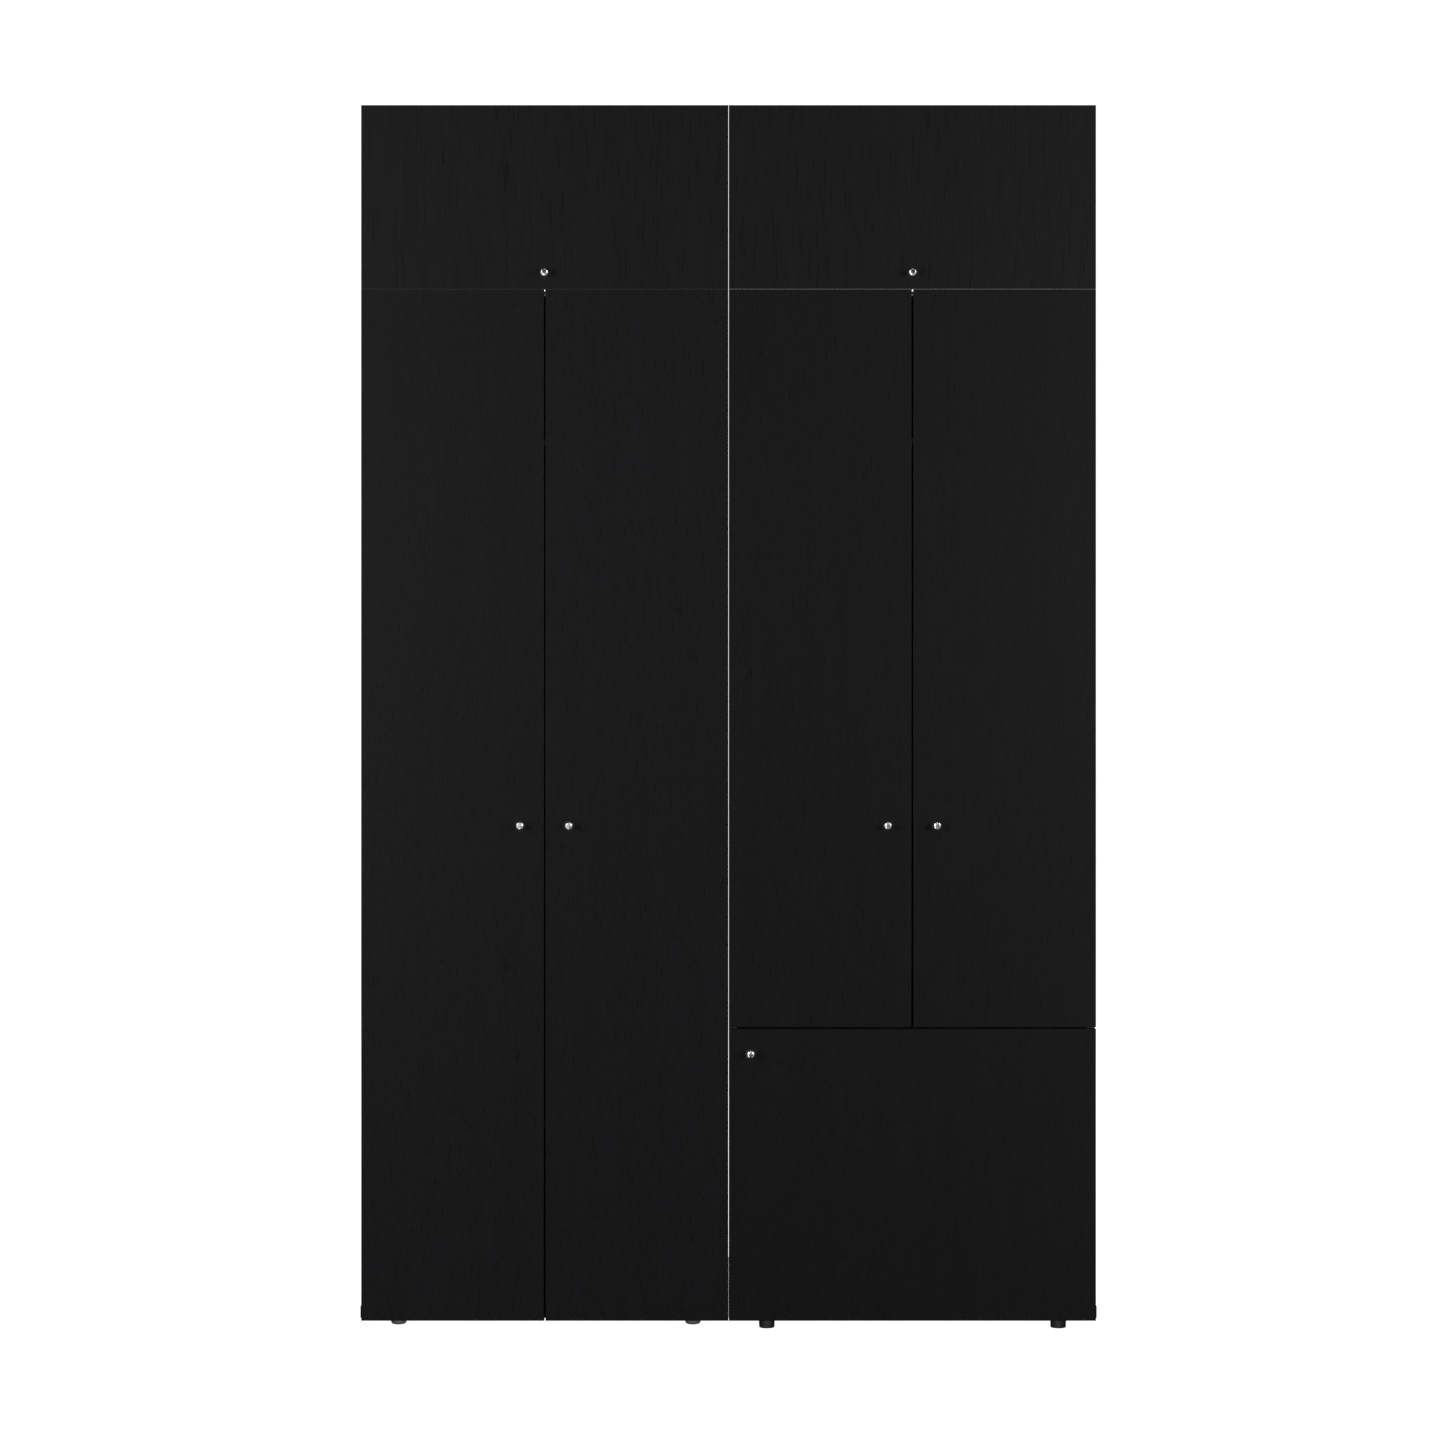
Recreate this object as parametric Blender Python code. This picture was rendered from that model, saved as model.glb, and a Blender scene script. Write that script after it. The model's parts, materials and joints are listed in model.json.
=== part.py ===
"""A two-column wardrobe: hinged doors below, a top cabinet with a lift-up flap on each column.

Metres, +Z up. The front faces -Y. The origin is on the floor, in the middle of the
wardrobe's width and of its depth with the knobs.
"""

from math import atan2, copysign, cos, degrees, hypot, pi, radians, sin

import bmesh
import bpy
from mathutils import Matrix, Vector

# Driving dimensions
PITCH = 0.770  # from one column's centre line to the next
FRONT_WIDTH = 0.7690  # of one column's doors and sides
BASE_OVERHANG = 0.0040  # of the base board past the wardrobe's outer sides
BASE_GAP = 0.0003  # between the two base boards
DEPTH = 0.600  # door face to back
HEIGHT = 2.571
BOARD = 0.018
BACK = 0.003
CLEARANCE = 0.0003  # between boards that are screwed together
DOOR_CLEARANCE = 0.002  # between a closed door and the carcass edge
EDGE_RADIUS = 0.0006

DOOR_BOTTOM = 0.025
LOWER_TOP = 2.184  # top of the lower carcass
BASE_BOTTOM = 0.027
BASE_THICKNESS = 0.025
LOW_DOOR_TOP = 0.636
LOW_DOOR_GAP = 0.004
FLAP_GAP = 0.0012
LEFT_SPLIT = 0.0033  # between the two doors of a pair
RIGHT_SPLIT = 0.0040

HAT_SHELF = 1.860  # undersides of the shelves
LEFT_LOW_SHELF = 0.420
RIGHT_LOW_SHELF = 0.330
SHELF_SETBACK = 0.030
RAIL_DROP = 0.060
RAIL_SIZE = (0.015, 0.030)

KNOB_LENGTH = 0.022
KNOB_INSET = 0.0495  # from a door's free edge
KNOB_HEIGHT = 1.062
LOW_KNOB_DROP = 0.052
LOW_KNOB_INSET = 0.046
FLAP_KNOB_RISE = 0.0331

LEFT_FEET = (-0.7013, -0.0758)  # distances across to the feet's axes
RIGHT_FEET = (0.0808, 0.6968)
LEFT_FOOT_SETBACK = 0.097  # from the door faces to a front foot's axis
RIGHT_FOOT_SETBACK = 0.0600
BACK_FOOT_SETBACK = 0.060

FLAP_ANGLE = radians(80)
HINGE_DROP = 0.100  # from a door's top edge to its top hinge
FLAP_HINGE_INSET = 0.100

ROUND = 24  # sides of a turned piece

# Planes that follow from them
FRONT = KNOB_LENGTH - (DEPTH + KNOB_LENGTH) / 2
CARCASS_FRONT = FRONT + BOARD + DOOR_CLEARANCE
REAR = FRONT + DEPTH
CARCASS_REAR = REAR - BACK - CLEARANCE
BASE_TOP = BASE_BOTTOM + BASE_THICKNESS
DOOR_TOP = LOWER_TOP + 0.001
FLAP_BOTTOM = DOOR_TOP + FLAP_GAP


# Materials


def material(name, colour, roughness, metallic=0.0):
    made = bpy.data.materials.new(name)
    made.use_nodes = True
    shader = made.node_tree.nodes["Principled BSDF"]
    shader.inputs["Base Color"].default_value = (*colour, 1)
    shader.inputs["Roughness"].default_value = roughness
    shader.inputs["Metallic"].default_value = metallic
    return made


# Shapes


def add(name, mesh, finish, place=(0, 0, 0), on=None):
    """The mesh as an object at a place in the wardrobe, parented to an empty if one is given."""
    mesh.materials.append(finish)
    obj = bpy.data.objects.new(name, mesh)
    obj.location = Vector(place)
    if on:
        obj.parent = on
        obj.location -= on.location
    bpy.context.scene.collection.objects.link(obj)
    return obj


def axis_empty(name, place):
    empty = bpy.data.objects.new(name, None)
    empty.location = place
    bpy.context.scene.collection.objects.link(empty)
    return empty


def mesh_from(bm, name):
    bmesh.ops.recalc_face_normals(bm, faces=bm.faces)
    mesh = bpy.data.meshes.new(name)
    bm.to_mesh(mesh)
    bm.free()
    return mesh


def board(name, low, high, finish, on=None):
    """A flat board between two corners, its arrises broken by a small bevel."""
    low, high = Vector(low), Vector(high)
    bm = bmesh.new()
    bmesh.ops.create_cube(bm, size=1, matrix=Matrix.Diagonal(high - low).to_4x4())
    obj = add(name, mesh_from(bm, name), finish, (low + high) / 2, on)
    arris = obj.modifiers.new("arris", "BEVEL")
    arris.width = EDGE_RADIUS
    arris.segments = 1
    return obj


def turned(name, profile, finish, place, direction, on=None):
    """A profile of (radius, height) points turned round its axis, which is then laid along direction."""
    bm = bmesh.new()
    points = [bm.verts.new((radius, 0, height)) for radius, height in profile]
    lines = [bm.edges.new(pair) for pair in zip(points, points[1:])]
    bmesh.ops.spin(
        bm, geom=points + lines, cent=(0, 0, 0), axis=(0, 0, 1), angle=2 * pi, steps=ROUND
    )
    bmesh.ops.remove_doubles(bm, verts=bm.verts, dist=1e-6)
    bmesh.ops.rotate(
        bm, verts=bm.verts, matrix=Vector((0, 0, 1)).rotation_difference(Vector(direction)).to_matrix()
    )
    mesh = mesh_from(bm, name)
    mesh.shade_smooth()
    mesh.set_sharp_from_angle(angle=radians(30))
    return add(name, mesh, finish, place, on)


def joined(obj, other):
    """Fuses another object into this one and removes it."""
    union = obj.modifiers.new("union", "BOOLEAN")
    union.operation = "UNION"
    union.object = other
    other.hide_render = True
    other.display_type = "WIRE"
    return obj


# Carcasses


def carcass(prefix, middle, bottom, top, back_bottom, finishes):
    """Two sides, a top board and a back for one column, whose bottom board is made apart."""
    outer = FRONT_WIDTH / 2
    inner = outer - BOARD - CLEARANCE
    for side, sign in (("left", -1), ("right", 1)):
        across = sorted((middle + sign * outer, middle + sign * (outer - BOARD)))
        board(
            f"{prefix}_{side}_side",
            (across[0], CARCASS_FRONT, bottom),
            (across[1], CARCASS_REAR, top),
            finishes["carcass"],
        )
    board(
        f"{prefix}_top_board",
        (middle - inner, CARCASS_FRONT, top - BOARD),
        (middle + inner, CARCASS_REAR, top),
        finishes["carcass"],
    )
    board(
        f"{prefix}_back_panel",
        (middle - outer + EDGE_RADIUS, REAR - BACK, back_bottom + EDGE_RADIUS),
        (middle + outer - EDGE_RADIUS, REAR, top - EDGE_RADIUS),
        finishes["back"],
    )


def inner_board(name, middle, bottom, finish, setback=0.0):
    """A shelf or divider between a column's two sides."""
    half = FRONT_WIDTH / 2 - BOARD - CLEARANCE
    board(
        name,
        (middle - half, CARCASS_FRONT + setback, bottom),
        (middle + half, CARCASS_REAR - CLEARANCE, bottom + BOARD),
        finish,
    )


def base_board(name, middle, finish):
    """The board that a column stands on, which reaches past the wardrobe's outer side only."""
    outer = PITCH / 2 + FRONT_WIDTH / 2 + BASE_OVERHANG
    across = (BASE_GAP / 2, outer) if middle > 0 else (-outer, -BASE_GAP / 2)
    board(name, (across[0], CARCASS_FRONT, BASE_BOTTOM), (across[1], CARCASS_REAR, BASE_TOP), finish)


def hanging_rail(name, middle, finish):
    """An oval tube between the two sides, with a flattened round section."""
    width, height = RAIL_SIZE
    half = FRONT_WIDTH / 2 - BOARD - CLEARANCE
    bm = bmesh.new()
    turns = [2 * pi * (step + 0.5) / ROUND for step in range(ROUND)]
    straight = (height - width) / 2
    ring = [
        bm.verts.new((0, cos(turn) * width / 2, sin(turn) * width / 2 + copysign(straight, sin(turn))))
        for turn in turns
    ]
    end = bm.faces.new(ring)
    grown = bmesh.ops.extrude_face_region(bm, geom=[end])
    moved = [item for item in grown["geom"] if isinstance(item, bmesh.types.BMVert)]
    bmesh.ops.translate(bm, verts=moved, vec=(2 * half, 0, 0))
    place = (middle - half, (CARCASS_FRONT + CARCASS_REAR) / 2, HAT_SHELF - RAIL_DROP)
    mesh = mesh_from(bm, name)
    mesh.shade_smooth()
    mesh.set_sharp_from_angle(angle=radians(30))
    return add(name, mesh, finish, place)


# Feet


def tapered_foot(name, place, finish):
    height = BASE_BOTTOM - CLEARANCE
    profile = [
        (0, 0),
        (0.0152, 0),
        (0.0162, 0.0010),
        (0.0175, height - 0.004),
        (0.0175, height),
        (0, height),
    ]
    return turned(name, profile, finish, (*place, 0), (0, 0, 1))


def domed_foot(name, place, finish):
    """A glide with a rounded rim under a narrower neck."""
    height = BASE_BOTTOM - CLEARANCE
    rim, edge = 0.0165, 0.0055
    angles = [pi / 2 * step / 4 for step in range(5)]
    dome = [(rim - edge + edge * sin(angle), edge - edge * cos(angle)) for angle in angles]
    profile = [(0, 0), *dome, (rim, 0.014), (0.012, 0.018), (0.012, height), (0, height)]
    return turned(name, profile, finish, (*place, 0), (0, 0, 1))


def feet(prefix, across, make, front_setback, finish):
    rows = {"front": FRONT + front_setback, "back": REAR - BACK_FOOT_SETBACK}
    for row, y in rows.items():
        for side, x in zip(("left", "right"), across):
            make(f"{prefix}_{row}_{side}_foot", (x, y), finish)


# Doors, knobs and hinge arms


def knob(name, x, z, finish, on):
    """A rosette, a neck and a head with a wide bevel round a flat face."""
    profile = [
        (0, 0.0003),
        (0.0110, 0.0003),
        (0.0110, 0.0015),
        (0.0104, 0.0020),
        (0.0042, 0.0024),
        (0.0035, 0.0060),
        (0.0040, 0.0110),
        (0.0070, 0.0150),
        (0.0080, 0.0165),
        (0.0080, 0.0185),
        (0.0045, KNOB_LENGTH),
        (0, KNOB_LENGTH),
    ]
    return turned(name, profile, finish, (x, FRONT, z), (0, -1, 0), on)


def hinge_arm(name, place, inward, finish):
    """A mounting plate on a board with the hinge's arm on it, which starts level with the board's edge."""
    plate, arm = Vector((0.002, 0.018, 0.048)), Vector((0.013, 0.060, 0.014))
    inward, back = Vector(inward), Vector((0, 1, 0))
    turn = Matrix((inward, back, inward.cross(back))).transposed().to_4x4()
    sizes = ((plate, 0.037), (arm, arm.y / 2 + 0.001))
    pieces = []
    for label, (size, depth) in zip(("", "_body"), sizes):
        bm = bmesh.new()
        shift = Matrix.Translation((size.x / 2 + CLEARANCE, depth, 0))
        bmesh.ops.create_cube(bm, size=1, matrix=turn @ shift @ Matrix.Diagonal(size).to_4x4())
        pieces.append(add(name + label, mesh_from(bm, name + label), finish, place))
    return joined(*pieces)


def side_door(name, left, right, bottom, top, hinge, knob_at, finishes):
    """A door hinged on its left or right edge. Its axis is the outer front edge."""
    hinged_left = hinge == "left"
    edge = left if hinged_left else right
    axis = axis_empty(f"{name}_axis", (edge, FRONT, bottom))
    board(name, (left, FRONT, bottom), (right, FRONT + BOARD, top), finishes["front"], axis)
    knob_inset, knob_height = knob_at
    free = right - knob_inset if hinged_left else left + knob_inset
    knob(f"{name}_knob", free, knob_height, finishes["steel"], axis)
    sign = 1 if hinged_left else -1
    place = (edge + sign * BOARD, CARCASS_FRONT, top - HINGE_DROP)
    hinge_arm(f"{name}_hinge_arm", place, (sign, 0, 0), finishes["zinc"])


def door_pair(prefix, middle, split, bottom, finishes):
    outer = FRONT_WIDTH / 2
    knob_at = (KNOB_INSET, KNOB_HEIGHT)
    left = (middle - outer, middle - split / 2)
    right = (middle + split / 2, middle + outer)
    side_door(f"{prefix}_left_door", *left, bottom, DOOR_TOP, "left", knob_at, finishes)
    side_door(f"{prefix}_right_door", *right, bottom, DOOR_TOP, "right", knob_at, finishes)


def flap(name, middle, finishes):
    """The lift-up front of a top cabinet. Its axis is the top front edge."""
    outer = FRONT_WIDTH / 2
    axis = axis_empty(f"{name}_axis", (middle, FRONT, HEIGHT))
    low, high = (middle - outer, FRONT, FLAP_BOTTOM), (middle + outer, FRONT + BOARD, HEIGHT)
    board(name, low, high, finishes["front"], axis)
    knob(f"{name}_knob", middle, FLAP_BOTTOM + FLAP_KNOB_RISE, finishes["steel"], axis)
    place = (middle + outer - BOARD - FLAP_HINGE_INSET, CARCASS_FRONT, HEIGHT - BOARD)
    hinge_arm(f"{name}_hinge_arm", place, (0, 0, -1), finishes["zinc"])


# Gas struts. Depth runs back from the door face, drop runs down from the flap's axis.

STRUT_ANCHOR = Vector((0.230, 0.050))  # depth and drop of the pivot on the cabinet's side
STRUT_STUD = Vector((0.035, 0.035))  # depth and drop of the stud on the closed flap
STRUT_INSET = 0.014  # from the cabinet's side to the strut's centre line
TUBE_LENGTH = 0.172  # pivot to the tube's mouth
ROD_LENGTH = 0.160
EYE_RADIUS = 0.005


def strut_reach(angle):
    """(length, rise) of the strut with the flap turned up by an angle."""
    depth = STRUT_STUD.x * cos(angle) - STRUT_STUD.y * sin(angle)
    drop = STRUT_STUD.x * sin(angle) + STRUT_STUD.y * cos(angle)
    run, rise = STRUT_ANCHOR.x - depth, STRUT_ANCHOR.y - drop
    return hypot(run, rise), atan2(rise, run)


def strut(prefix, middle, finishes):
    """A pressure tube that pivots on the cabinet's left side, and the rod that slides in it."""
    length, rise = strut_reach(0)
    forward = Vector((0, -cos(rise), sin(rise)))
    x = middle - FRONT_WIDTH / 2 + BOARD + STRUT_INSET
    anchor = Vector((x, FRONT + STRUT_ANCHOR.x, HEIGHT - STRUT_ANCHOR.y))
    stud = anchor + length * forward
    pivot = axis_empty(f"{prefix}_strut_axis", anchor)
    tube, bore, rod = 0.0075, 0.0045, 0.003
    tail = 0.012
    tube_profile = [
        (0, -EYE_RADIUS),
        (0.004, -EYE_RADIUS),
        (0.004, tail - 0.003),
        (tube, tail),
        (tube, TUBE_LENGTH),
        (bore, TUBE_LENGTH),
        (bore, tail + 0.004),
        (0, tail + 0.004),
    ]
    turned(f"{prefix}_strut_tube", tube_profile, finishes["black_steel"], anchor, forward, pivot)
    rod_profile = [
        (0, -ROD_LENGTH),
        (rod, -ROD_LENGTH),
        (rod, -EYE_RADIUS - 0.004),
        (EYE_RADIUS - 0.0005, -EYE_RADIUS - 0.002),
        (EYE_RADIUS - 0.0005, EYE_RADIUS),
        (0, EYE_RADIUS),
    ]
    turned(f"{prefix}_strut_rod", rod_profile, finishes["steel"], stud, forward, pivot)
    open_length, open_rise = strut_reach(FLAP_ANGLE)
    print(f"{prefix} strut pivot: {anchor.x:.4f} {anchor.y:.4f} {anchor.z:.4f}")
    print(f"{prefix} strut direction: {forward.x:.4f} {forward.y:.6f} {forward.z:.6f}")
    turn = degrees(rise - open_rise)
    print(f"{prefix} strut stroke: {open_length - length:.5f} m, turn {turn:.4f} degrees")


# The wardrobe


def top_cabinet(prefix, middle, finishes):
    bottom = LOWER_TOP + CLEARANCE
    carcass(f"{prefix}_cabinet", middle, bottom, HEIGHT, bottom, finishes)
    inner_board(f"{prefix}_cabinet_bottom_board", middle, bottom, finishes["carcass"])
    flap(f"{prefix}_flap", middle, finishes)
    strut(f"{prefix}_flap", middle, finishes)


def lower_column(prefix, middle, finishes):
    base_board(f"{prefix}_base_board", middle, finishes["carcass"])
    bottom = BASE_TOP + CLEARANCE
    carcass(f"{prefix}_carcass", middle, bottom, LOWER_TOP, BASE_BOTTOM, finishes)
    inner_board(f"{prefix}_hat_shelf", middle, HAT_SHELF, finishes["carcass"], SHELF_SETBACK)
    hanging_rail(f"{prefix}_hanging_rail", middle, finishes["chrome"])


def wardrobe():
    finishes = {
        "front": material("black_woodgrain_board", (0.0125, 0.0125, 0.0135), 0.45),
        "carcass": material("black_carcass_board", (0.0125, 0.0125, 0.0130), 0.50),
        "back": material("black_hardboard", (0.0150, 0.0150, 0.0155), 0.60),
        "steel": material("satin_steel", (0.55, 0.55, 0.54), 0.28, 1.0),
        "chrome": material("chromed_tube", (0.75, 0.75, 0.75), 0.12, 1.0),
        "zinc": material("nickel_plated_zinc", (0.60, 0.59, 0.56), 0.30, 1.0),
        "black_steel": material("black_painted_steel", (0.012, 0.012, 0.012), 0.35),
        "black_foot": material("black_plastic", (0.013, 0.013, 0.013), 0.50),
        "grey_foot": material("grey_plastic", (0.060, 0.060, 0.060), 0.50),
    }
    left, right = -PITCH / 2, PITCH / 2
    lower_column("left", left, finishes)
    feet("left", LEFT_FEET, domed_foot, LEFT_FOOT_SETBACK, finishes["grey_foot"])
    inner_board("left_low_shelf", left, LEFT_LOW_SHELF, finishes["carcass"], SHELF_SETBACK)
    door_pair("left_column", left, LEFT_SPLIT, DOOR_BOTTOM, finishes)
    top_cabinet("left", left, finishes)

    lower_column("right", right, finishes)
    feet("right", RIGHT_FEET, tapered_foot, RIGHT_FOOT_SETBACK, finishes["black_foot"])
    divider = LOW_DOOR_TOP + LOW_DOOR_GAP / 2 - BOARD / 2
    inner_board("right_divider_board", right, divider, finishes["carcass"])
    inner_board("right_low_shelf", right, RIGHT_LOW_SHELF, finishes["carcass"], SHELF_SETBACK)
    door_pair("right_column", right, RIGHT_SPLIT, LOW_DOOR_TOP + LOW_DOOR_GAP, finishes)
    outer = FRONT_WIDTH / 2
    low_door = (right - outer, right + outer, DOOR_BOTTOM, LOW_DOOR_TOP)
    low_knob = (LOW_KNOB_INSET, LOW_DOOR_TOP - LOW_KNOB_DROP)
    side_door("right_column_low_door", *low_door, "right", low_knob, finishes)
    top_cabinet("right", right, finishes)


for old in list(bpy.data.objects):
    bpy.data.objects.remove(old, do_unlink=True)
wardrobe()
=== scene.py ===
# %% [markdown]
# # A black two-column wardrobe
# The wardrobe is two tall cabinets side by side, each with a top cabinet on it. Everything that
# carries or moves is already in the frame as plain boards, tubes and turned pieces. This lesson
# gives them their finishes, and builds the small hardware that a closer look would show.

# %% Load the frame
import json
from math import cos, pi, radians, sin

import bmesh
import bpy
from mathutils import Matrix, Vector


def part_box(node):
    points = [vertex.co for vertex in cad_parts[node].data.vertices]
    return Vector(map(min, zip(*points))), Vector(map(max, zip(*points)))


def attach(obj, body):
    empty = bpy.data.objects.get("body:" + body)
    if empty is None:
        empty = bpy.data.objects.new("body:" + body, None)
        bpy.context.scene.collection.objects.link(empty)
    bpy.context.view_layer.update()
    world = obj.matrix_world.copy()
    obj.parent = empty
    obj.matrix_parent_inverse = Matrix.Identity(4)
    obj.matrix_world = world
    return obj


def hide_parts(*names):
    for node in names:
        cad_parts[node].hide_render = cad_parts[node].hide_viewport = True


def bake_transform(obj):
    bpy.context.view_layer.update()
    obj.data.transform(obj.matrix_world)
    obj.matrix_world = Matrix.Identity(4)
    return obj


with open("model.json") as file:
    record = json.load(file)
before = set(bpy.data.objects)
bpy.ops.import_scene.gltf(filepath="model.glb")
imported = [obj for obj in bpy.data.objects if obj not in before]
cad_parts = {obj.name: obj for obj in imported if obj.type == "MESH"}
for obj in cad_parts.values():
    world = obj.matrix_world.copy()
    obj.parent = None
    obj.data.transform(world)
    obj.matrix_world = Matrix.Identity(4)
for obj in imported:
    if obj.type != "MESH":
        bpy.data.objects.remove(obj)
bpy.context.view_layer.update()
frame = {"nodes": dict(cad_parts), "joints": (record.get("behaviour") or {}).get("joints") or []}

MM = 0.001

# %% [markdown]
# ## Camera
# The wardrobe is seen straight on from about six metres, at hand height. A long lens keeps the
# boards' edges parallel. The camera stands on the centre line, so that it looks straight through
# the narrow gap between the two columns, and a small shift sets the wardrobe beside the middle of
# the frame.

# %% Camera
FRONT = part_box("left_column_left_door")[0].y  # the doors' faces
camera_data = bpy.data.cameras.new("camera")
camera_data.sensor_width = 36
camera_data.lens = 73.76
camera_data.shift_x = -0.0042
camera = bpy.data.objects.new("camera", camera_data)
camera.location = (0, FRONT - 6.2, 1.278)
camera.rotation_euler = (radians(90), 0, 0)
bpy.context.scene.collection.objects.link(camera)
bpy.context.scene.camera = camera
bpy.context.scene.view_settings.view_transform = "Standard"
print("camera at", tuple(round(value, 3) for value in camera.location))

# %% [markdown]
# ## Colours and nodes
# A paint chart gives colours as sRGB hex values, while a shader works on linear light, so one
# function does that turn. Another adds a node, sets it and links it, and every finish below is
# built from that one call.

# %% Helpers for finishes
def linear(hex_colour):
    """An sRGB hex colour as linear RGBA."""
    parts = [int(hex_colour[place : place + 2], 16) / 255 for place in (0, 2, 4)]
    light = [part / 12.92 if part <= 0.04045 else ((part + 0.055) / 1.055) ** 2.4 for part in parts]
    return *light, 1.0


def add_node(tree, kind, values=None, links=None, **settings):
    """A new node with its properties, its unlinked input values and its links."""
    made = tree.nodes.new(kind)
    for name, setting in settings.items():
        setattr(made, name, setting)
    for socket, value in (values or {}).items():
        made.inputs[socket].default_value = value
    for socket, source in (links or {}).items():
        tree.links.new(source, made.inputs[socket])
    return made


def new_finish(name, **values):
    """A material with one Principled shader, and that shader's sockets by name."""
    made = bpy.data.materials.new(name)
    made.use_nodes = True
    shader = made.node_tree.nodes["Principled BSDF"]
    for socket, value in values.items():
        shader.inputs[socket.replace("_", " ")].default_value = value
    return made, made.node_tree, shader


print("black at half reflectance is", [round(part, 3) for part in linear("BCBCBC")[:3]])

# %% [markdown]
# ## Melamine-faced board
# The boards are chipboard faced with a printed paper under melamine resin, pressed against an
# etched plate. Print and plate carry the same wood figure: short upright fibres a few millimetres
# wide over broad, slow bands. The resin gives a low gloss, and the etched pores break it up. The
# same recipe serves every board, with its own fibre length and its own grain direction. Each front
# also has its own tone, and that tone is painted light and shade: the flaps and left doors are
# painted lighter, and the right doors and the low door darker, for the light on each front. The
# fibres are drawn a little wider than real ones so that they still show.

# %% Black woodgrain melamine
def woodgrain(name, dark, light, fibre_length, grain="Z", roughness=0.46):
    """Black woodgrain melamine whose grain runs along an axis of the board."""
    made, tree, shader = new_finish(name, Roughness=roughness, IOR=1.5)
    place = add_node(tree, "ShaderNodeTexCoord").outputs["Object"]
    layers = {}
    for layer, width, length, detail in (
        ("fibres", 2.6 * MM, fibre_length, 3.0),
        ("bands", 30 * MM, 420 * MM, 2.0),
        ("pores", 2.2 * MM, fibre_length / 1.6, 1.0),
    ):
        scale = [1 / length if axis == grain else 1 / width for axis in "XYZ"]
        spread = add_node(tree, "ShaderNodeMapping", {"Scale": scale}, {"Vector": place})
        layers[layer] = add_node(
            tree,
            "ShaderNodeTexNoise",
            {"Scale": 1.0, "Detail": detail, "Roughness": 0.6},
            {"Vector": spread.outputs["Vector"]},
        ).outputs["Fac"]
    wide = add_node(
        tree, "ShaderNodeMath", {1: 0.18}, {0: layers["bands"]}, operation="MULTIPLY"
    ).outputs["Value"]
    figure = add_node(tree, "ShaderNodeMath", links={0: wide, 1: layers["fibres"]}, operation="ADD")
    tone = add_node(
        tree,
        "ShaderNodeMapRange",
        {"From Min": 0.37, "From Max": 0.81},
        {"Value": figure.outputs["Value"]},
    ).outputs["Result"]
    ground = add_node(
        tree, "ShaderNodeMixRGB", {"Color1": linear(dark), "Color2": linear(light)}, {"Fac": tone}
    ).outputs["Color"]
    open_pore = add_node(
        tree,
        "ShaderNodeMapRange",
        {"From Min": 0.3, "From Max": 0.42, "To Min": 1.0, "To Max": 0.0},
        {"Value": layers["pores"]},
    ).outputs["Result"]
    colour = add_node(
        tree, "ShaderNodeMixRGB", {"Color2": linear("060607")}, {"Color1": ground, "Fac": open_pore}
    )
    tree.links.new(colour.outputs["Color"], shader.inputs["Base Color"])
    sheen = add_node(
        tree,
        "ShaderNodeMapRange",
        {"From Min": 0.3, "From Max": 0.7, "To Min": roughness + 0.08, "To Max": roughness - 0.06},
        {"Value": layers["fibres"]},
    ).outputs["Result"]
    tree.links.new(sheen, shader.inputs["Roughness"])
    pressed = add_node(
        tree,
        "ShaderNodeBump",
        {"Strength": 0.5, "Distance": 0.06 * MM},
        {"Height": layers["pores"]},
    ).outputs["Normal"]
    tree.links.new(pressed, shader.inputs["Normal"])
    return made


# The fronts' tones are painted light and shade: lighter on the flaps and left doors, darker on the
# right doors and the low door.
FINISHES = {
    "flap": woodgrain("black_woodgrain_flaps_painted_light", "121215", "232326", 120 * MM),
    "left_doors": woodgrain("black_woodgrain_left_doors_painted_light", "0F0F13", "212126", 38 * MM),
    "right_doors": woodgrain("black_woodgrain_right_doors_painted_shade", "0B0B0E", "1F1F24", 50 * MM),
    "low_door": woodgrain("black_woodgrain_low_door_painted_shade", "0A0A0D", "202024", 26 * MM),
    "upright_board": woodgrain("black_woodgrain_upright", "0D0D0E", "212122", 80 * MM),
    "level_board": woodgrain("black_woodgrain_level", "0D0D0E", "212122", 80 * MM, grain="X"),
}
print("melamine finishes:", ", ".join(FINISHES))

# %% [markdown]
# ## Stage and light
# The wardrobe stands in a white studio. The floor and the world are bright enough to meet without a
# visible horizon. Both stay out of the doors' own reflections, as they do when a photographer hangs
# black cloth behind the camera, so the black boards keep their depth. Two soft keys light the boards
# from the sides.
#
# Bright metal shows what stands round it, and black boards hardly do. So strips and reflector cards
# are linked to the small metal pieces alone, a snoot to the white buffers, a low card to the feet,
# and a wide fill to the boards inside, which would be lost in the dark when a door is open.

# %% Stage and light
def studio_floor():
    bm = bmesh.new()
    bmesh.ops.create_grid(bm, x_segments=1, y_segments=1, size=60)
    mesh = bpy.data.meshes.new("studio_floor")
    bm.to_mesh(mesh)
    bm.free()
    floor = bpy.data.objects.new("studio_floor", mesh)
    made, _, shader = new_finish("studio_floor_paint", Roughness=0.9)
    shader.inputs["Base Color"].default_value = linear("F4F4F4")
    shader.inputs["Emission Color"].default_value = (1, 1, 1, 1)
    shader.inputs["Emission Strength"].default_value = 1.0
    mesh.materials.append(made)
    bpy.context.scene.collection.objects.link(floor)
    floor.visible_diffuse = False
    floor.visible_glossy = False


def softbox(name, place, aim, size, power, receivers=None):
    """An area light that the camera doesn't see. With receivers, it lights only the pieces in them."""
    light = bpy.data.lights.new(name, "AREA")
    light.shape = "RECTANGLE"
    light.size, light.size_y = size
    light.energy = power
    obj = bpy.data.objects.new(name, light)
    obj.location = place
    obj.rotation_euler = (Vector(aim) - Vector(place)).to_track_quat("-Z", "Y").to_euler()
    obj.visible_camera = False
    if receivers:
        obj.light_linking.receiver_collection = receivers
    bpy.context.scene.collection.objects.link(obj)


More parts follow.
